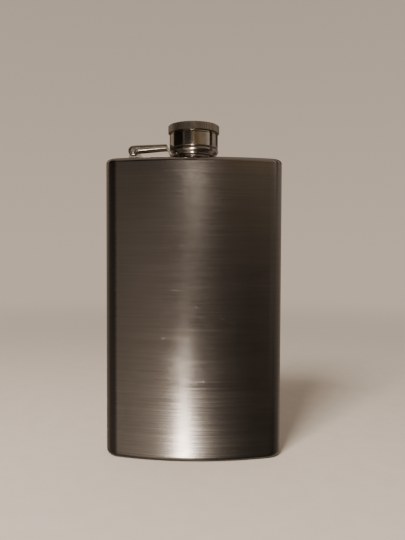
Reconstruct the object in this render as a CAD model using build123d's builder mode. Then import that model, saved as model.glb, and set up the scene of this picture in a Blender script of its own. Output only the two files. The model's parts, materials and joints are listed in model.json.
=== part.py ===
from build123d import *
import math
import os

os.makedirs("parts", exist_ok=True)

# Pocket flask with a captive screw cap. Millimetres. +Z up, front (convex) face towards -Y.
# Origin: centre of the plan outline, on the surface the flask stands on.

# Flask body
body_width = 94.0
body_height = 158.2
thickness = 20.0
front_radius = 150.0
back_radius = front_radius - thickness
corner_radius = 9.5
sheet = 0.6
base_band = 3.1
base_roll = 2.9
top_band = 2.4
top_roll = 2.2
seam_gap = 0.12

# Pressed plates that close the body at both ends
upstand_outer = sheet + 0.04
upstand_inner = sheet + 0.74
upstand_reach = 4.4
base_floor = 1.6
base_floor_inset = 3.6
base_upstand_top = 6.4
foot_recess = 0.8
foot_rim = 5.0
top_roof = 1.0
top_roof_inset = 2.9
top_upstand_depth = 6.0

# Screw cap
crown_radius = 13.4
crown_bottom = 171.0
crown_top = 175.25
barrel_radius = 12.65
barrel_bottom = 162.95
barrel_shoulder = 173.6
spigot_radius = 10.62
spigot_bore = 10.05
spigot_bottom = 159.5
shell_wall = 0.7
crown_dome_edge = 0.4
knurl_count = 84
knurl_size = 0.38

# Neck
neck_bore = 7.0
neck_spigot_radius = 8.5
neck_collar_radius = 9.3
neck_collar_top = 160.2
neck_root_radius = 8.2
neck_top = 168.3
liner_roof = 170.0
gasket_radius = 10.2
thread_pitch = 2.5

# Hinge
pivot_x = -31.4
pivot_z = 161.9
pin_radius = 1.0
pin_head_radius = 1.5
ear_gap = 2.2
ear_outer = 3.0
clip_gauge = 0.6
eye_radius = 2.75
arm_half_width = 4.1
arm_wall = 0.7
arm_start = -29.2
arm_end = -14.1
arm_crest = 165.4
arm_fall = 0.6
arm_depth_start = 3.3
arm_depth_end = 2.5
arm_top_round = 1.1
arm_foot_round = 0.6
ring_bore = 10.7
ring_radius = 12.9
ring_lip = 160.0
ring_bottom = 160.4
ring_top = 162.55
skirt_bore = 11.05
skirt_start = 75.0
skirt_turn = 210.0

# The plan outline runs from the front of the cap to the rear corners of the body.
corner_reach = math.sqrt((back_radius + corner_radius) ** 2 - (body_width / 2 - corner_radius) ** 2)
rear_depth = front_radius - corner_reach + corner_radius
front_y = -(rear_depth - (crown_radius - thickness / 2)) / 2
neck_y = front_y + thickness / 2
bend_centre_y = front_y + front_radius

neck_axis = Axis((0, neck_y, 0), (0, 0, 1))
middle_plane = Plane((0, neck_y, 0), x_dir=(1, 0, 0), z_dir=(0, -1, 0))

skirt_x = math.cos(math.radians(skirt_start))
skirt_y = math.sin(math.radians(skirt_start))
skirt_plane = Plane((0, neck_y, 0), x_dir=(skirt_x, skirt_y, 0), z_dir=(skirt_y, -skirt_x, 0))

# Square to the arm's lower edge, with its own Y axis up from that edge.
arm_slope = (arm_fall + arm_depth_start - arm_depth_end) / (arm_end - arm_start)
arm_foot_z = arm_crest - arm_fall - arm_depth_start + 0.7 * arm_slope
arm_foot_plane = Plane((arm_start + 0.7, neck_y, arm_foot_z), x_dir=(0, 1, 0), z_dir=(1, 0, arm_slope))


def kidney(height, inset=0.0):
    """Bean-shaped cross-section of the flask at a height, inset from the outer skin."""
    half = body_width / 2 - inset
    front = front_radius - inset
    back = back_radius + inset
    front_end = bend_centre_y - math.sqrt(front**2 - half**2)
    back_end = bend_centre_y - math.sqrt(back**2 - half**2)
    with BuildSketch(Plane.XY.offset(height)) as outline:
        with BuildLine():
            ThreePointArc((-half, front_end), (0, bend_centre_y - front), (half, front_end))
            Line((half, front_end), (half, back_end))
            ThreePointArc((half, back_end), (0, bend_centre_y - back), (-half, back_end))
            Line((-half, back_end), (-half, front_end))
        make_face()
        fillet(outline.vertices(), corner_radius - inset)
    return outline.sketch


def thread(crest, root, first, turns):
    """Helical thread ridge standing from a root radius to a crest radius."""
    half_base = 0.75
    half_crest = 0.35
    height = thread_pitch * turns
    with BuildPart() as ridge:
        with BuildLine(Plane.XY.offset(first)) as path:
            Helix(thread_pitch, height, root)
        with BuildSketch(Plane.XZ) as profile:
            with BuildLine():
                Polyline(
                    (root, first - half_base),
                    (crest, first - half_crest),
                    (crest, first + half_crest),
                    (root, first + half_base),
                    close=True,
                )
            make_face()
        sweep(path=path.wires()[0], is_frenet=True)
    return Pos(0, neck_y, 0) * ridge.part


# Wrapped steel skin: a plain tube, open at both ends.
with BuildPart() as body_shell:
    extrude(kidney(base_band), amount=body_height - top_band - base_band)
    extrude(kidney(base_band, sheet), amount=body_height - top_band - base_band, mode=Mode.SUBTRACT)
body_shell.part.label = "body_shell"

# Pressed base: rolled rim flush with the skin, an upstand inside it, and a shallow foot recess.
with BuildPart() as base_plate:
    extrude(kidney(0), amount=base_band - seam_gap)
    fillet(base_plate.edges().group_by(Axis.Z)[0], base_roll)
    extrude(kidney(base_upstand_top - upstand_reach, upstand_outer), amount=upstand_reach)
    extrude(kidney(base_floor, base_floor_inset), amount=2.0, mode=Mode.SUBTRACT)
    extrude(kidney(base_floor + 0.6, upstand_inner), amount=base_upstand_top, mode=Mode.SUBTRACT)
    extrude(kidney(0, foot_rim), amount=foot_recess, mode=Mode.SUBTRACT)
base_plate.part.label = "base_plate"

# Pressed shoulder plate: the same upstand turned down, with the hole the neck is welded into.
with BuildPart() as top_plate:
    extrude(kidney(body_height - top_band + seam_gap), amount=top_band - seam_gap)
    fillet(top_plate.edges().group_by(Axis.Z)[-1], top_roll)
    extrude(kidney(body_height - top_upstand_depth, upstand_outer), amount=upstand_reach)
    cut_start = body_height - top_upstand_depth - 1
    extrude(kidney(cut_start, top_roof_inset), amount=top_upstand_depth + 1 - top_roof, mode=Mode.SUBTRACT)
    extrude(kidney(cut_start, upstand_inner), amount=top_upstand_depth - 0.7, mode=Mode.SUBTRACT)
    with BuildSketch(Plane.XY.offset(cut_start)):
        with Locations((0, neck_y)):
            Circle(neck_spigot_radius + 0.02)
    extrude(amount=top_upstand_depth + 2, mode=Mode.SUBTRACT)
top_plate.part.label = "top_plate"

# Spout: spigot welded into the shoulder, plain collar above it, threaded mouth.
neck_thread = thread(8.8, neck_root_radius - 0.1, 161.9, 1.75)
with BuildPart() as neck:
    with BuildSketch(middle_plane):
        with BuildLine():
            Polyline(
                (neck_bore, body_height - 2.2),
                (neck_spigot_radius, body_height - 2.2),
                (neck_spigot_radius, body_height),
                (neck_collar_radius, body_height),
                (neck_collar_radius, neck_collar_top - 0.3),
                (neck_collar_radius - 0.3, neck_collar_top),
                (neck_root_radius, neck_collar_top),
                (neck_root_radius, neck_top - 0.4),
                (neck_root_radius - 0.4, neck_top),
                (neck_bore + 0.3, neck_top),
                (neck_bore, neck_top - 0.3),
                close=True,
            )
        make_face()
    revolve(axis=neck_axis)
    add(neck_thread)
neck.part.label = "neck"

# Hinge bracket: a folded clip, base welded to the shoulder, two ears up to the pin.
with BuildPart() as hinge_bracket:
    with BuildSketch(middle_plane) as ear:
        with BuildLine():
            Polyline(
                (-33.8, body_height),
                (-26.2, body_height),
                (-26.2, body_height + clip_gauge),
                (-29.6, pivot_z - 0.9),
                (-29.6, pivot_z),
                (-33.2, pivot_z),
                (-33.8, body_height + clip_gauge),
                close=True,
            )
        make_face()
        with Locations((pivot_x, pivot_z)):
            Circle(1.8)
    extrude(amount=ear_outer, both=True)
    with BuildSketch(middle_plane):
        with Locations((-30.0, body_height + clip_gauge)):
            Rectangle(12.0, 7.0, align=(Align.CENTER, Align.MIN))
    extrude(amount=ear_gap, both=True, mode=Mode.SUBTRACT)
    with BuildSketch(middle_plane):
        with Locations((pivot_x, pivot_z)):
            Circle(pin_radius + 0.01)
    extrude(amount=4.0, both=True, mode=Mode.SUBTRACT)
hinge_bracket.part.label = "hinge_bracket"

# Hinge rivet with a domed head at each end.
with BuildPart() as hinge_pin:
    with BuildSketch(middle_plane):
        with Locations((pivot_x, pivot_z)):
            Circle(pin_radius)
    extrude(amount=arm_half_width + 0.5, both=True)
    for side in (-1, 1):
        start = middle_plane.offset(side * (arm_half_width + 0.2))
        with BuildSketch(start):
            with Locations((pivot_x, pivot_z)):
                Circle(pin_head_radius)
        extrude(amount=side * 0.7)
    fillet(hinge_pin.edges().group_by(Axis.Y)[0], 0.45)
    fillet(hinge_pin.edges().group_by(Axis.Y)[-1], 0.45)
hinge_pin.part.label = "hinge_pin"

# Hinge arm: folded channel from the two eyes up to the ring the cap turns in.
with BuildPart() as hinge_arm:
    with BuildSketch(middle_plane):
        with BuildLine():
            Polyline(
                (pivot_x, pivot_z + eye_radius),
                (arm_start, arm_crest - arm_fall),
                (arm_end, arm_crest),
                (-13.0, ring_top + 0.8),
                (-12.95, ring_top),
                (-9.0, ring_top),
                (-9.0, ring_lip),
                (-12.4, ring_lip),
                (arm_end, arm_crest - arm_depth_end),
                (arm_start, arm_crest - arm_fall - arm_depth_start),
                (pivot_x, pivot_z - 1.9),
                close=True,
            )
        make_face()
        with Locations((pivot_x, pivot_z)):
            Circle(eye_radius)
    extrude(amount=arm_half_width, both=True)
    # the fold: well rounded along both upper edges, and eased along both lower ones
    top_edges = hinge_arm.edges().filter_by(
        lambda edge: edge.length > 12 and edge.center().X > -28 and edge.center().Z > arm_crest - 1
    )
    fillet(top_edges, arm_top_round)
    for side in (-1, 1):
        inner = side * (arm_half_width - arm_foot_round)
        flank = side * arm_half_width
        outer = side * (arm_half_width + 0.3)
        with BuildSketch(arm_foot_plane):
            with BuildLine():
                Polyline(
                    (inner, 0),
                    (inner, -0.3),
                    (outer, -0.3),
                    (outer, arm_foot_round),
                    (flank, arm_foot_round),
                )
                RadiusArc((flank, arm_foot_round), (inner, 0), side * arm_foot_round)
            make_face()
        extrude(amount=arm_end - arm_start - 1.0, mode=Mode.SUBTRACT)
    # hollow of the channel, open underneath and open at the eyes
    with BuildSketch(middle_plane):
        with BuildLine():
            Polyline(
                (-36.0, 156.0),
                (-36.0, 166.0),
                (-28.9, 166.0),
                (-28.8, arm_crest - arm_fall - arm_wall),
                (arm_end - 0.3, arm_crest - arm_wall),
                (-13.6, ring_top - arm_wall),
                (-11.0, ring_top - arm_wall),
                (-11.0, 156.0),
                close=True,
            )
        make_face()
    extrude(amount=arm_half_width - arm_wall, both=True, mode=Mode.SUBTRACT)
    # ring round the cap's spigot, dished underneath, with a deeper skirt on the arm's side
    with BuildSketch(middle_plane):
        with BuildLine():
            Line((9.5, ring_top), (ring_radius - 0.3, ring_top))
            Line((ring_radius - 0.3, ring_top), (ring_radius, ring_top - 0.3))
            Line((ring_radius, ring_top - 0.3), (ring_radius, ring_top - 0.9))
            ThreePointArc(
                (ring_radius, ring_top - 0.9),
                (ring_radius - 0.3, ring_top - 1.65),
                (ring_radius - 0.95, ring_lip),
            )
            Line((ring_radius - 0.95, ring_lip), (9.5, ring_lip))
            Line((9.5, ring_lip), (9.5, ring_top))
        make_face()
    revolve(axis=neck_axis)
    with BuildSketch(skirt_plane):
        with BuildLine():
            Polyline(
                (skirt_bore, spigot_bottom),
                (skirt_bore + 0.4, spigot_bottom),
                (skirt_bore + 0.75, ring_bottom + 0.3),
                (skirt_bore, ring_bottom + 0.3),
                close=True,
            )
        make_face()
    revolve(axis=neck_axis, revolution_arc=skirt_turn)
    with BuildSketch(Plane.XY.offset(156)):
        with Locations((0, neck_y)):
            Circle(skirt_bore)
    extrude(amount=ring_bottom - 156, mode=Mode.SUBTRACT)
    with BuildSketch(Plane.XY.offset(156)):
        with Locations((0, neck_y)):
            Circle(ring_bore)
    extrude(amount=10, mode=Mode.SUBTRACT)
    # pin holes through both eyes
    with BuildSketch(middle_plane):
        with Locations((pivot_x, pivot_z)):
            Circle(pin_radius + 0.05)
    extrude(amount=arm_half_width + 1, both=True, mode=Mode.SUBTRACT)
hinge_arm.part.label = "hinge_arm"

# Washer pressed on the end of the cap's spigot, which keeps the cap in the ring.
with BuildPart() as retaining_washer:
    with BuildSketch(Plane.XY.offset(spigot_bottom)):
        with Locations((0, neck_y)):
            Circle(skirt_bore - 0.1)
            Circle(spigot_radius + 0.02, mode=Mode.SUBTRACT)
    extrude(amount=0.6)
retaining_washer.part.label = "retaining_washer"

# Cap barrel: polished drawn cup with a spigot that passes down through the ring.
with BuildPart() as cap_barrel:
    with BuildSketch(middle_plane) as wall:
        with BuildLine():
            Polyline(
                (0, barrel_shoulder),
                (barrel_radius - shell_wall, barrel_shoulder),
                (barrel_radius - shell_wall, barrel_bottom + 0.65),
                (spigot_bore, barrel_bottom + 0.65),
                (spigot_bore, spigot_bottom),
                (spigot_radius, spigot_bottom),
                (spigot_radius, barrel_bottom),
                (barrel_radius, barrel_bottom),
                (barrel_radius, crown_bottom - 1.05),
                (barrel_radius - 0.3, crown_bottom - 0.6),
                (barrel_radius - 0.3, barrel_shoulder + 0.6),
                (0, barrel_shoulder + 0.6),
                close=True,
            )
        make_face()
    revolve(axis=neck_axis)
    rim = cap_barrel.edges().filter_by(GeomType.CIRCLE)
    bead = rim.filter_by(lambda e: abs(e.radius - barrel_radius) < 0.01).sort_by(Axis.Z)[0]
    fillet(bead, 0.6)
cap_barrel.part.label = "cap_barrel"

# Knurled crown pressed over the top of the barrel.
with BuildPart() as knurled_crown:
    with BuildSketch(middle_plane):
        with BuildLine():
            Polyline(
                (0, crown_bottom),
                (crown_radius - 0.35, crown_bottom),
                (crown_radius, crown_bottom + 0.35),
                (crown_radius, crown_top - 0.5),
                (crown_radius - crown_dome_edge, crown_top - 0.15),
            )
            TangentArc((0, crown_top), (crown_radius - crown_dome_edge, crown_top - 0.15), tangent=(1, 0))
            Line((0, crown_top), (0, crown_bottom))
        make_face()
    revolve(axis=neck_axis)
    with BuildSketch(Plane.XY.offset(crown_bottom - 1)):
        with Locations((0, neck_y)):
            with PolarLocations(crown_radius + 0.09, knurl_count):
                Rectangle(knurl_size, knurl_size, rotation=45)
    extrude(amount=crown_top - crown_bottom + 2, mode=Mode.SUBTRACT)
    with BuildSketch(Plane.XY.offset(crown_bottom - 1)):
        with Locations((0, neck_y)):
            Circle(barrel_radius - 0.28)
    extrude(amount=barrel_shoulder + 0.62 - crown_bottom + 1, mode=Mode.SUBTRACT)
knurled_crown.part.label = "knurled_crown"

# Moulded threaded liner inside the barrel.
liner_thread = thread(9.6, 10.4, 164.6, 1.25)
with BuildPart() as cap_liner:
    with BuildSketch(middle_plane):
        with BuildLine():
            Polyline(
                (0, liner_roof),
                (10.3, liner_roof),
                (10.3, barrel_bottom + 0.7),
                (barrel_radius - 0.75, barrel_bottom + 0.7),
                (barrel_radius - 0.75, barrel_shoulder - 0.05),
                (0, barrel_shoulder - 0.05),
                close=True,
            )
        make_face()
    revolve(axis=neck_axis)
    add(liner_thread)
cap_liner.part.label = "cap_liner"

# Rubber sealing disc under the liner's top.
with BuildPart() as cap_gasket:
    with BuildSketch(Plane.XY.offset(neck_top + 0.3)):
        with Locations((0, neck_y)):
            Circle(gasket_radius)
    extrude(amount=liner_roof - neck_top - 0.3)
    fillet(cap_gasket.edges().group_by(Axis.Z)[0], 0.3)
cap_gasket.part.label = "cap_gasket"

pieces = (
    body_shell,
    base_plate,
    top_plate,
    neck,
    hinge_bracket,
    hinge_pin,
    hinge_arm,
    retaining_washer,
    cap_barrel,
    knurled_crown,
    cap_liner,
    cap_gasket,
)
for piece in pieces:
    export_step(piece.part, f"parts/{piece.part.label}.step")
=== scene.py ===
import json
import math

import bpy
from mathutils import Matrix, Vector


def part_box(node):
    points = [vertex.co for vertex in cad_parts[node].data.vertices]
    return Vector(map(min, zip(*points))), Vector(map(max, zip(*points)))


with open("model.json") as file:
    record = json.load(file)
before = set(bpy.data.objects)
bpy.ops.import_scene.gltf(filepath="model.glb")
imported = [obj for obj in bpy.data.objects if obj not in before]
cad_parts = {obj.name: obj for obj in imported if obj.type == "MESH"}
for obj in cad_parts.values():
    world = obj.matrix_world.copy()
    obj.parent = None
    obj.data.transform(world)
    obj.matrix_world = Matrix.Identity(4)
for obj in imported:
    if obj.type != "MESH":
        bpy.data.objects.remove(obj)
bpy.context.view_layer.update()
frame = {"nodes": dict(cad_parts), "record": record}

nodes = frame["nodes"]


# ---------------------------------------------------------------- shader helpers
class Graph:
    """Small wrapper that adds and links shader nodes."""

    def __init__(self, tree):
        self.tree = tree

    def node(self, kind, **settings):
        made = self.tree.nodes.new(kind)
        for key, value in settings.items():
            setattr(made, key, value)
        return made

    def link(self, source, target):
        self.tree.links.new(source, target)

    def feed(self, value, target):
        if isinstance(value, bpy.types.NodeSocket):
            self.link(value, target)
        else:
            target.default_value = value

    def math(self, operation, a, b=0.0):
        made = self.node("ShaderNodeMath", operation=operation)
        self.feed(a, made.inputs[0])
        self.feed(b, made.inputs[1])
        return made.outputs[0]

    def stretch(self, vector, scale, offset=(0, 0, 0)):
        made = self.node("ShaderNodeMapping")
        made.inputs["Scale"].default_value = scale
        made.inputs["Location"].default_value = offset
        self.link(vector, made.inputs["Vector"])
        return made.outputs[0]

    def noise(self, vector, scale=1.0, detail=3.0, rough=0.55, distortion=0.0):
        made = self.node("ShaderNodeTexNoise")
        made.inputs["Scale"].default_value = scale
        made.inputs["Detail"].default_value = detail
        made.inputs["Roughness"].default_value = rough
        made.inputs["Distortion"].default_value = distortion
        self.link(vector, made.inputs["Vector"])
        return made.outputs[0]

    def ramp(self, value, stops):
        """Colour or level by value, straight between stops of (place, colour or level)."""
        made = self.node("ShaderNodeValToRGB")
        while len(made.color_ramp.elements) < len(stops):
            made.color_ramp.elements.new(0.5)
        for element, (place, colour) in zip(made.color_ramp.elements, stops):
            element.position = place
            if not hasattr(colour, "__len__"):
                colour = (colour, colour, colour)
            element.color = (*colour, 1.0)
        self.feed(value, made.inputs[0])
        return made.outputs[0]

    def fit(self, value, low, high, to_low, to_high):
        """Maps low..high to to_low..to_high, and holds the ends beyond them."""
        made = self.node("ShaderNodeMapRange")
        made.clamp = True
        made.inputs["From Min"].default_value = low
        made.inputs["From Max"].default_value = high
        made.inputs["To Min"].default_value = to_low
        made.inputs["To Max"].default_value = to_high
        self.feed(value, made.inputs["Value"])
        return made.outputs[0]

    def mix(self, factor, a, b, blend="MIX"):
        made = self.node("ShaderNodeMix", data_type="RGBA", blend_type=blend)
        self.feed(factor, made.inputs["Factor"])
        for socket, value in ((made.inputs["A"], a), (made.inputs["B"], b)):
            if isinstance(value, tuple):
                value = (*value, 1.0)
            self.feed(value, socket)
        return made.outputs["Result"]

    def bump(self, height, distance, strength=1.0, after=None):
        made = self.node("ShaderNodeBump")
        made.inputs["Strength"].default_value = strength
        made.inputs["Distance"].default_value = distance
        self.link(height, made.inputs["Height"])
        if after is not None:
            self.link(after, made.inputs["Normal"])
        return made.outputs[0]

    def combine(self, x, y, z):
        made = self.node("ShaderNodeCombineXYZ")
        for socket, value in zip(made.inputs, (x, y, z)):
            self.feed(value, socket)
        return made.outputs[0]

    def split(self, vector):
        made = self.node("ShaderNodeSeparateXYZ")
        self.link(vector, made.inputs[0])
        return made.outputs

    def length(self, vector):
        made = self.node("ShaderNodeVectorMath", operation="LENGTH")
        self.link(vector, made.inputs[0])
        return made.outputs["Value"]

    def blend_shaders(self, factor, a, b):
        made = self.node("ShaderNodeMixShader")
        for socket, source in zip(made.inputs, (factor, a, b)):
            self.link(source, socket)
        return made.outputs[0]


def material(name, metallic=1.0):
    made = bpy.data.materials.new(name)
    made.use_nodes = True
    graph = Graph(made.node_tree)
    shader = made.node_tree.nodes["Principled BSDF"]
    shader.inputs["Metallic"].default_value = metallic
    place = graph.node("ShaderNodeTexCoord").outputs["Object"]
    return made, graph, shader, place


def scratches(graph, place, scale, width, angle, density):
    """Sparse thin straight marks: the borders of a stretched cell pattern, broken up by noise."""
    turned = graph.node("ShaderNodeMapping")
    turned.inputs["Rotation"].default_value = angle
    turned.inputs["Scale"].default_value = scale
    graph.link(place, turned.inputs["Vector"])
    cells = graph.node("ShaderNodeTexVoronoi", feature="DISTANCE_TO_EDGE")
    cells.inputs["Scale"].default_value = 1.0
    cells.inputs["Randomness"].default_value = 1.0
    graph.link(turned.outputs[0], cells.inputs["Vector"])
    line = graph.fit(cells.outputs["Distance"], 0.0, width, 1.0, 0.0)
    gaps = graph.noise(graph.stretch(place, (160, 160, 160), (3, 1, 7)), detail=1.0)
    start, fade = 1.0 - density, 0.06
    keep = graph.fit(gaps, start, start + fade, 0.0, 1.0)
    return graph.math("MULTIPLY", line, keep)


# ---------------------------------------------------------------- materials
def brush_round(graph, shader, strength):
    """Stretches highlights across a grain that runs round the upright axis."""
    shader.inputs["Anisotropic"].default_value = strength
    shader.inputs["Anisotropic Rotation"].default_value = 0.25
    tangent = graph.node("ShaderNodeTangent", direction_type="RADIAL", axis="Z")
    graph.link(tangent.outputs[0], shader.inputs["Tangent"])


def brushed_steel():
    made, g, shader, place = material("brushed_body_look")
    # brushing runs round the body, so the grain is long across and fine up and down
    fine = g.noise(g.stretch(place, (45, 45, 5200)), detail=4.0, rough=0.7)
    coarse = g.noise(g.stretch(place, (22, 22, 900), (1, 2, 3)), detail=5.0, rough=0.72, distortion=0.4)
    broad = g.noise(g.stretch(place, (9, 9, 160), (5, 1, 9)), detail=3.0, rough=0.6)
    # wide arcs left by the buffing wheel, centred below the body and kept to random patches
    reach = g.length(g.stretch(place, (1, 1, 1), (-0.012, 0, 0.035)))
    arcs = g.noise(g.combine(g.math("MULTIPLY", reach, 1500), 0.0, 0.0), detail=3.0, rough=0.7)
    arc_zone = g.fit(g.noise(g.stretch(place, (28, 28, 28), (2, 8, 4)), detail=2.0), 0.42, 0.66, 0.0, 1.0)
    arc_marks = g.math("MULTIPLY", arcs, arc_zone)
    # handling marks and stray scratches
    smudge = g.noise(g.stretch(place, (60, 60, 75), (7, 3, 1)), detail=4.0, rough=0.6, distortion=0.8)
    cloud = g.noise(g.stretch(place, (16, 16, 12), (4, 4, 2)), detail=3.0, rough=0.5)
    marks = scratches(g, place, (30, 30, 62), 0.0035, (0.2, 0.55, 0.1), 0.36)

    grain = g.math("ADD", g.math("MULTIPLY", fine, 0.5), g.math("MULTIPLY", coarse, 0.5))
    tone = g.ramp(grain, [(0.30, (0.50, 0.475, 0.455)), (0.70, (0.66, 0.635, 0.610))])
    stain = g.fit(cloud, 0.35, 0.7, 0.0, 0.35)
    tone = g.mix(stain, tone, (0.50, 0.455, 0.425))
    tone = g.mix(g.fit(smudge, 0.55, 0.8, 0.0, 0.25), tone, (0.42, 0.40, 0.38))
    tone = g.mix(g.math("MULTIPLY", marks, 0.25), tone, (0.86, 0.84, 0.80))
    g.link(tone, shader.inputs["Base Color"])

    rough = g.fit(broad, 0.3, 0.7, 0.16, 0.22)
    rough = g.math("ADD", rough, g.fit(smudge, 0.45, 0.8, 0.0, 0.06))
    rough = g.math("ADD", rough, g.math("MULTIPLY", marks, 0.06))
    g.link(rough, shader.inputs["Roughness"])
    brush_round(g, shader, 0.6)

    # each brushed line leans its own way, which feathers the edges of reflections
    lines = g.noise(g.stretch(place, (14, 14, 1150), (6, 2, 5)), detail=4.0, rough=0.7)
    lean = g.math("MULTIPLY", g.math("SUBTRACT", lines, 0.5), 0.11)
    facing = g.node("ShaderNodeVectorMath", operation="ADD")
    g.link(g.node("ShaderNodeNewGeometry").outputs["Normal"], facing.inputs[0])
    g.link(g.combine(lean, 0.0, 0.0), facing.inputs[1])
    turned = g.node("ShaderNodeVectorMath", operation="NORMALIZE")
    g.link(facing.outputs[0], turned.inputs[0])
    ripple = g.noise(g.stretch(place, (26, 26, 18), (9, 9, 9)), detail=2.0, rough=0.45)
    normal = g.bump(ripple, 0.00035, 0.6, turned.outputs[0])
    normal = g.bump(fine, 0.000004, 0.8, normal)
    normal = g.bump(coarse, 0.000008, 0.8, normal)
    normal = g.bump(arc_marks, 0.000014, 0.7, normal)
    normal = g.bump(g.math("MULTIPLY", marks, -1.0), 0.00002, 0.6, normal)
    g.link(normal, shader.inputs["Normal"])
    return made


def polished_steel():
    made, g, shader, place = material("polished_steel_look")
    haze = g.noise(g.stretch(place, (210, 210, 260), (3, 5, 1)), detail=4.0, rough=0.6, distortion=0.6)
    cloud = g.noise(g.stretch(place, (70, 70, 70), (8, 2, 6)), detail=2.0)
    rub = g.noise(g.stretch(place, (260, 260, 5200), (2, 2, 2)), detail=3.0, rough=0.65)
    marks = scratches(g, place, (210, 210, 330), 0.012, (0.5, 0.3, 0.9), 0.45)
    tone = g.ramp(cloud, [(0.32, (0.63, 0.575, 0.50)), (0.68, (0.76, 0.72, 0.66))])
    tone = g.mix(g.fit(haze, 0.56, 0.78, 0.0, 0.35), tone, (0.46, 0.41, 0.35))
    g.link(tone, shader.inputs["Base Color"])
    rough = g.fit(haze, 0.3, 0.75, 0.07, 0.17)
    rough = g.math("ADD", rough, g.math("MULTIPLY", marks, 0.15))
    g.link(rough, shader.inputs["Roughness"])
    normal = g.bump(rub, 0.000006, 0.5)
    normal = g.bump(g.math("MULTIPLY", marks, -1.0), 0.00001, 0.6, normal)
    g.link(normal, shader.inputs["Normal"])
    return made


def satin_knurl():
    """Blasted steel: painted shade in the grooves of its side, and faint turning rings on its top."""
    made, g, shader, place = material("satin_knurl_look")
    low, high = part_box("knurled_crown")
    middle = (low + high) / 2
    radius = (high.x - low.x) / 2
    groove_floor, groove_lip = radius - 0.00016, radius - 0.00004
    side_end, top_start, top_full = high.z - 0.0009, high.z - 0.0006, high.z - 0.0003
    reach = g.length(g.stretch(place, (1, 1, 0), (-middle.x, -middle.y, 0)))
    groove = g.fit(reach, groove_floor, groove_lip, 1.0, 0.0)
    height = g.split(place)["Z"]
    side = g.fit(height, side_end, top_start, 1.0, 0.0)
    mottle = g.noise(g.stretch(place, (420, 420, 420), (4, 4, 4)), detail=4.0, rough=0.65)
    blast = g.noise(g.stretch(place, (4200, 4200, 4200)), detail=2.0)
    turned = g.noise(g.combine(g.math("MULTIPLY", reach, 5200), 0.0, 0.0), detail=2.0, rough=0.7)
    tone = g.ramp(mottle, [(0.3, (0.78, 0.735, 0.65)), (0.7, (0.90, 0.86, 0.78))])
    # painted shade: the floors of the knurl grooves on the side are darkened, more or less as the mottle
    # noise varies
    painted_groove_shade = g.math("MULTIPLY", g.math("MULTIPLY", groove, side), g.fit(mottle, 0.2, 0.6, 0.55, 0.95))
    tone = g.mix(painted_groove_shade, tone, (0.17, 0.145, 0.115))
    g.link(tone, shader.inputs["Base Color"])
    g.link(g.fit(mottle, 0.3, 0.75, 0.34, 0.48), shader.inputs["Roughness"])
    normal = g.bump(blast, 0.000012, 0.5)
    rings = g.math("MULTIPLY", turned, g.fit(height, top_start, top_full, 0.0, 1.0))
    normal = g.bump(rings, 0.00001, 0.6, normal)
    g.link(normal, shader.inputs["Normal"])
    return made


def turned_steel():
    made, g, shader, place = material("turned_neck_look")
    lathe = g.noise(g.stretch(place, (60, 60, 6500)), detail=3.0, rough=0.7)
    haze = g.noise(g.stretch(place, (180, 180, 180), (6, 1, 2)), detail=4.0, rough=0.6)
    tone = g.ramp(haze, [(0.3, (0.55, 0.52, 0.48)), (0.7, (0.70, 0.67, 0.62))])
    g.link(tone, shader.inputs["Base Color"])
    g.link(g.fit(lathe, 0.3, 0.7, 0.18, 0.30), shader.inputs["Roughness"])
    brush_round(g, shader, 0.5)
    g.link(g.bump(lathe, 0.000012, 0.6), shader.inputs["Normal"])
    return made


def moulded_plastic():
    made, g, shader, place = material("liner_plastic_look", metallic=0.0)
    grain = g.noise(g.stretch(place, (2600, 2600, 2600)), detail=2.0)
    flow = g.noise(g.stretch(place, (120, 120, 90), (2, 7, 3)), detail=3.0, distortion=1.2)
    tone = g.ramp(flow, [(0.3, (0.70, 0.68, 0.62)), (0.7, (0.80, 0.785, 0.735))])
    g.link(tone, shader.inputs["Base Color"])
    g.link(g.fit(flow, 0.3, 0.7, 0.40, 0.55), shader.inputs["Roughness"])
    shader.inputs["Subsurface Weight"].default_value = 0.15
    shader.inputs["Subsurface Radius"].default_value = (0.0008, 0.0007, 0.0005)
    g.link(g.bump(grain, 0.00001, 0.6), shader.inputs["Normal"])
    return made


def seal_rubber():
    made, g, shader, place = material("seal_rubber_look", metallic=0.0)
    grain = g.noise(g.stretch(place, (3400, 3400, 3400)), detail=3.0)
    bloom = g.noise(g.stretch(place, (150, 150, 150), (1, 5, 3)), detail=4.0)
    tone = g.ramp(bloom, [(0.35, (0.022, 0.022, 0.023)), (0.75, (0.075, 0.072, 0.068))])
    g.link(tone, shader.inputs["Base Color"])
    g.link(g.fit(bloom, 0.3, 0.7, 0.55, 0.75), shader.inputs["Roughness"])
    g.link(g.bump(grain, 0.00002, 0.7), shader.inputs["Normal"])
    return made


looks = {
    "brushed_body": brushed_steel(),
    "polished_steel": polished_steel(),
    "satin_knurl": satin_knurl(),
    "turned_neck": turned_steel(),
    "liner_plastic": moulded_plastic(),
    "seal_rubber": seal_rubber(),
}
for subpart in frame["record"]["subparts"]:
    for slot in nodes[subpart["node"]].material_slots:
        slot.material = looks[subpart["material_slot"]]


# ---------------------------------------------------------------- floor and surroundings
BACKDROP = (0.63, 0.50, 0.39)
CEILING = (0.50, 0.40, 0.31)
FLOOR_HALF_WIDTH = 6.0
FLOOR_DROP = 0.00002
FLOOR_FADE = (0.10, 1.00)


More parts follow.
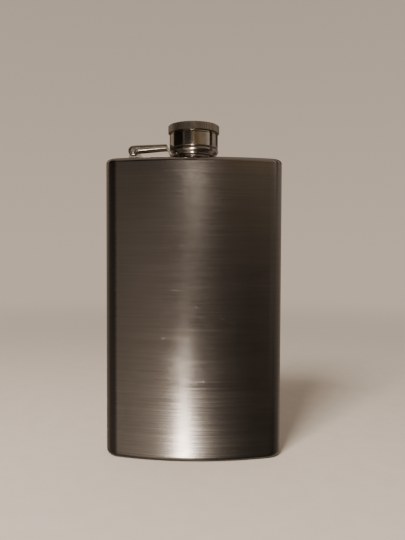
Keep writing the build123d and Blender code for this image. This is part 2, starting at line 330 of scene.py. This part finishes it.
def build_floor():
    made, g, shader, place = material("pale_floor", metallic=0.0)
    fibre = g.noise(g.stretch(place, (90, 90, 90)), detail=5.0, rough=0.6)
    tone = g.ramp(fibre, [(0.3, (0.68, 0.585, 0.50)), (0.7, (0.72, 0.625, 0.54))])
    g.link(tone, shader.inputs["Base Color"])
    shader.inputs["Roughness"].default_value = 0.75
    g.link(g.bump(fibre, 0.0002, 0.3), shader.inputs["Normal"])
    # the sheet runs on into an even backdrop
    far = g.node("ShaderNodeMapRange", interpolation_type="SMOOTHSTEP")
    far.inputs["From Min"].default_value, far.inputs["From Max"].default_value = FLOOR_FADE
    g.link(g.length(place), far.inputs["Value"])
    even = g.node("ShaderNodeEmission")
    even.inputs["Color"].default_value = (*BACKDROP, 1.0)
    surface = g.blend_shaders(far.outputs[0], shader.outputs[0], even.outputs[0])
    g.link(surface, made.node_tree.nodes["Material Output"].inputs["Surface"])

    mesh = bpy.data.meshes.new("floor")
    corners = [(-1, -1), (1, -1), (1, 1), (-1, 1)]
    points = [(x * FLOOR_HALF_WIDTH, y * FLOOR_HALF_WIDTH, -FLOOR_DROP) for x, y in corners]
    mesh.from_pydata(points, [], [(0, 1, 2, 3)])
    mesh.materials.append(made)
    floor = bpy.data.objects.new("floor", mesh)
    bpy.context.scene.collection.objects.link(floor)
    floor.visible_glossy = False


def around_stops(stops):
    """Azimuth stops in degrees (0 in front, positive to the right) as ramp places."""
    return [((degrees + 180.0) / 360.0, colour) for degrees, colour in stops]


def warm(level):
    """A warm grey of a given level."""
    return (level, level * 0.80, level * 0.63)


def build_world():
    """Only glossy surfaces mirror the room; the camera and soft light see plain even tones."""
    world = bpy.data.worlds.new("studio")
    bpy.context.scene.world = world
    world.use_nodes = True
    g = Graph(world.node_tree)
    sky = world.node_tree.nodes["Background"]
    out = world.node_tree.nodes["World Output"]
    direction = g.node("ShaderNodeTexCoord").outputs["Generated"]
    parts = g.split(direction)
    turn = g.math("ARCTAN2", parts["X"], g.math("MULTIPLY", parts["Y"], -1.0))
    around = g.fit(turn, -math.pi, math.pi, 0.0, 1.0)
    rise = parts["Z"]

    dim, pale = warm(0.10), warm(0.26)
    low = g.ramp(
        around,
        around_stops(
            [
                (-180, pale), (-168, dim), (-152, dim), (-142, pale), (-134, warm(0.17)),
                (-112, warm(0.125)), (-96, warm(0.060)), (-56, warm(0.055)), (-45, warm(0.19)),
                (-38, warm(0.23)), (-20, warm(0.32)), (-12, warm(0.42)), (0, warm(0.25)),
                (12, warm(0.08)), (24, warm(0.035)), (72, warm(0.020)), (104, warm(0.07)),
                (118, warm(0.10)), (145, pale), (158, dim), (172, dim), (180, pale),
            ]
        ),
    )
    middle = g.ramp(
        around,
        around_stops(
            [
                (-180, pale), (-168, dim), (-152, dim), (-142, pale), (-134, warm(0.17)),
                (-112, warm(0.11)), (-96, warm(0.045)), (-56, warm(0.032)), (-45, warm(0.115)),
                (-38, warm(0.135)), (-20, warm(0.155)), (-4, warm(0.14)), (4, warm(0.09)),
                (16, warm(0.048)), (30, warm(0.032)), (44, warm(0.065)), (72, warm(0.065)),
                (104, warm(0.11)), (118, warm(0.12)), (145, pale), (158, dim), (172, dim), (180, pale),
            ]
        ),
    )
    high = g.ramp(
        around,
        around_stops(
            [
                (-180, dim), (-168, dim), (-152, dim), (-142, pale), (-112, warm(0.11)),
                (-96, warm(0.034)), (-56, warm(0.022)), (-45, warm(0.090)), (-38, warm(0.102)),
                (-12, warm(0.115)), (4, warm(0.085)), (14, warm(0.058)), (30, warm(0.072)),
                (50, warm(0.085)), (72, warm(0.090)), (104, warm(0.16)), (118, warm(0.16)),
                (145, pale), (158, dim), (172, dim), (180, dim),
            ]
        ),
    )
    room = g.mix(g.fit(rise, -0.33, -0.12, 0.0, 1.0), low, middle)
    room = g.mix(g.fit(rise, -0.08, 0.12, 0.0, 1.0), room, high)
    # higher up: dark panels and narrow bright ones, which give the polished cap its upright bands
    black = warm(0.006)
    upper = g.ramp(
        around,
        around_stops(
            [
                (-180, warm(0.05)), (-150, warm(0.08)), (-138, warm(0.30)), (-112, warm(0.34)),
                (-107, black), (-52, black), (-46, warm(0.12)), (-41, warm(0.03)), (-14, warm(0.03)),
                (-6, (0.13, 0.085, 0.045)), (14, (0.12, 0.080, 0.045)), (34, (0.20, 0.14, 0.085)),
                (58, warm(0.20)), (80, warm(0.42)), (84, black), (98, black), (104, pale), (126, pale),
                (134, warm(0.03)), (180, warm(0.05)),
            ]
        ),
    )
    room = g.mix(g.fit(rise, 0.180, 0.196, 0.0, 1.0), room, upper)
    # a dark panel up on the left darkens the rounded top of the hinge arm
    panel = g.ramp(around, around_stops([(-42, 0.0), (-30, 1.0), (-2, 1.0), (6, 0.0)]))
    panel = g.math("MULTIPLY", panel, g.fit(rise, 0.22, 0.28, 0.0, 1.0))
    room = g.mix(panel, room, black)
    ceiling = g.fit(rise, 0.50, 0.85, 0.0, 1.0)
    room = g.mix(ceiling, room, warm(0.22))
    # a lamp low in front: an upright streak in the body that brightens and widens downwards
    height = g.fit(rise, -0.42, 0.18, 0.0, 1.0)
    lean = g.ramp(height, [(0.0, 0.0), (0.50, 0.0), (0.70, 0.4), (0.80, 0.72), (0.90, 0.92), (0.985, 0.55)])
    centre = g.math("ADD", g.math("MULTIPLY", lean, 0.021), -0.0168)
    width = g.ramp(
        height,
        [(0.0, 0.0115), (0.12, 0.0062), (0.24, 0.0040), (0.42, 0.0036), (0.55, 0.0055), (0.70, 0.011),
         (0.95, 0.021)],
    )
    power = g.ramp(
        height,
        [(0.0, 3.6), (0.09, 3.0), (0.15, 0.30), (0.23, 0.045), (0.38, 0.030), (0.52, 0.017), (0.70, 0.008),
         (0.82, 0.009), (0.91, 0.026), (0.955, 0.17), (0.985, 0.24), (1.0, 0.0)],
    )
    offset = g.math("DIVIDE", g.math("SUBTRACT", g.math("SUBTRACT", around, 0.5), centre), width)
    spread = g.math("ADD", g.math("MULTIPLY", offset, offset), 1.0)
    # it ends a little way down, so that the underside of the base's rolled rim mirrors little of it
    power = g.math("MULTIPLY", power, g.fit(rise, -0.60, -0.48, 0.0, 1.0))
    glow = g.math("MULTIPLY", power, g.math("POWER", spread, -1.6))
    glow = g.mix(1.0, g.combine(glow, glow, glow), (9.8, 8.5, 7.3), "MULTIPLY")
    room = g.mix(1.0, room, glow, "ADD")
    g.link(room, sky.inputs["Color"])

    path = g.node("ShaderNodeLightPath")
    plain = g.node("ShaderNodeBackground")
    g.link(g.mix(g.fit(rise, 0.0, 0.45, 0.0, 1.0), BACKDROP, CEILING), plain.inputs["Color"])
    soft = g.node("ShaderNodeBackground")
    soft.inputs["Color"].default_value = (0.62, 0.54, 0.46, 1.0)
    soft.inputs["Strength"].default_value = 0.6
    lit = g.blend_shaders(path.outputs["Is Diffuse Ray"], sky.outputs[0], soft.outputs[0])
    seen = g.blend_shaders(path.outputs["Is Camera Ray"], lit, plain.outputs[0])
    g.link(seen, out.inputs["Surface"])


def build_key_light():
    place, target = Vector((-0.30, -0.65, 0.70)), Vector((0.0, 0.0, 0.0))
    data = bpy.data.lights.new("key", "AREA")
    data.shape = "RECTANGLE"
    data.size = data.size_y = 0.30
    data.energy = 14.5
    data.color = (1.0, 0.94, 0.86)
    lamp = bpy.data.objects.new("key", data)
    bpy.context.scene.collection.objects.link(lamp)
    lamp.location = place
    lamp.rotation_mode = "QUATERNION"
    lamp.rotation_quaternion = (target - place).to_track_quat("-Z", "Y")
    lamp.visible_glossy = False


build_floor()
build_world()
build_key_light()


# ---------------------------------------------------------------- camera
def build_camera():
    """In front of the flask and a little to its right, turned slightly back and down."""
    neck_low, neck_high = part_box("neck")
    neck_y = (neck_low.y + neck_high.y) / 2
    sideways, distance, height = 0.00844, 0.27557, 0.10905
    yaw, pitch, roll = 0.0130, -0.0338, 0.0037
    data = bpy.data.cameras.new("camera")
    data.lens = 34.606667
    data.clip_start, data.clip_end = 0.01, 20.0
    camera = bpy.data.objects.new("camera", data)
    bpy.context.scene.collection.objects.link(camera)
    forward = Vector((-math.sin(yaw) * math.cos(pitch), math.cos(yaw) * math.cos(pitch), math.sin(pitch)))
    side = forward.cross(Vector((0, 0, 1))).normalized()
    up = side.cross(forward)
    right = side * math.cos(roll) + up * math.sin(roll)
    top = right.cross(forward)
    basis = Matrix((right, top, -forward)).transposed().to_4x4()
    camera.matrix_world = Matrix.Translation((sideways, neck_y - distance, height)) @ basis
    bpy.context.scene.camera = camera


build_camera()
